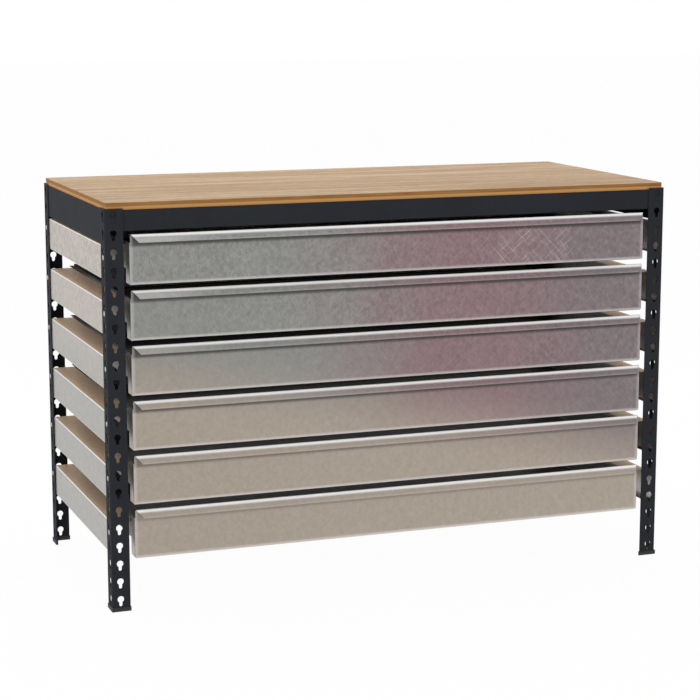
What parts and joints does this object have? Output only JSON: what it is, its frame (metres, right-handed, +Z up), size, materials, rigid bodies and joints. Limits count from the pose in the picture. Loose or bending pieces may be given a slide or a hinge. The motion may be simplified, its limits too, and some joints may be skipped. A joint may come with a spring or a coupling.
{
  "type": "workshop drawer bench",
  "caption": "Boltless workshop bench of keyholed angle posts and beams with a wooden top and full-width galvanised sheet drawers that hang on side runners and slide out to the front.",
  "frame": {"origin": "on the floor, in the middle of the overall width and of the overall depth, pull lips included", "axes": "+X to the right along the width, -Y to the front where the drawers open, +Z up"},
  "size_m": [1.2684, 0.6026, 0.85],
  "materials": {
    "painted_steel": "matt anthracite powder coat",
    "galvanised_steel": "galvanised sheet with a faint spangle",
    "wood_top": "bare board",
    "foot_plastic": "moulded, matt black"
  },
  "bodies": {
    "frame": {"post_front_left": "painted_steel", "post_front_right": "painted_steel", "post_back_left": "painted_steel", "post_back_right": "painted_steel", "foot_front_left": "foot_plastic", "foot_front_right": "foot_plastic", "foot_back_left": "foot_plastic", "foot_back_right": "foot_plastic", "beam_front": "painted_steel", "beam_back": "painted_steel", "beam_left": "painted_steel", "beam_right": "painted_steel", "worktop_board": "wood_top", "runner_left_1": "galvanised_steel", "runner_left_2": "galvanised_steel", "runner_left_3": "galvanised_steel", "runner_left_4": "galvanised_steel", "runner_left_5": "galvanised_steel", "runner_left_6": "galvanised_steel", "runner_right_1": "galvanised_steel", "runner_right_2": "galvanised_steel", "runner_right_3": "galvanised_steel", "runner_right_4": "galvanised_steel", "runner_right_5": "galvanised_steel", "runner_right_6": "galvanised_steel"},
    "drawer_1": {"drawer_tray_1": "galvanised_steel", "drawer_front_1": "galvanised_steel"},
    "drawer_2": {"drawer_tray_2": "galvanised_steel", "drawer_front_2": "galvanised_steel"},
    "drawer_3": {"drawer_tray_3": "galvanised_steel", "drawer_front_3": "galvanised_steel"},
    "drawer_4": {"drawer_tray_4": "galvanised_steel", "drawer_front_4": "galvanised_steel"},
    "drawer_5": {"drawer_tray_5": "galvanised_steel", "drawer_front_5": "galvanised_steel"},
    "drawer_6": {"drawer_tray_6": "galvanised_steel", "drawer_front_6": "galvanised_steel"}
  },
  "joints": [
    {"name": "drawer_1_slide", "type": "slide", "parent": "frame", "child": "drawer_1", "axis": [0, -1, 0], "range_m": [0, 0.43]},
    {"name": "drawer_2_slide", "type": "slide", "parent": "frame", "child": "drawer_2", "axis": [0, -1, 0], "range_m": [0, 0.43]},
    {"name": "drawer_3_slide", "type": "slide", "parent": "frame", "child": "drawer_3", "axis": [0, -1, 0], "range_m": [0, 0.43]},
    {"name": "drawer_4_slide", "type": "slide", "parent": "frame", "child": "drawer_4", "axis": [0, -1, 0], "range_m": [0, 0.43]},
    {"name": "drawer_5_slide", "type": "slide", "parent": "frame", "child": "drawer_5", "axis": [0, -1, 0], "range_m": [0, 0.43]},
    {"name": "drawer_6_slide", "type": "slide", "parent": "frame", "child": "drawer_6", "axis": [0, -1, 0], "range_m": [0, 0.43]}
  ]
}
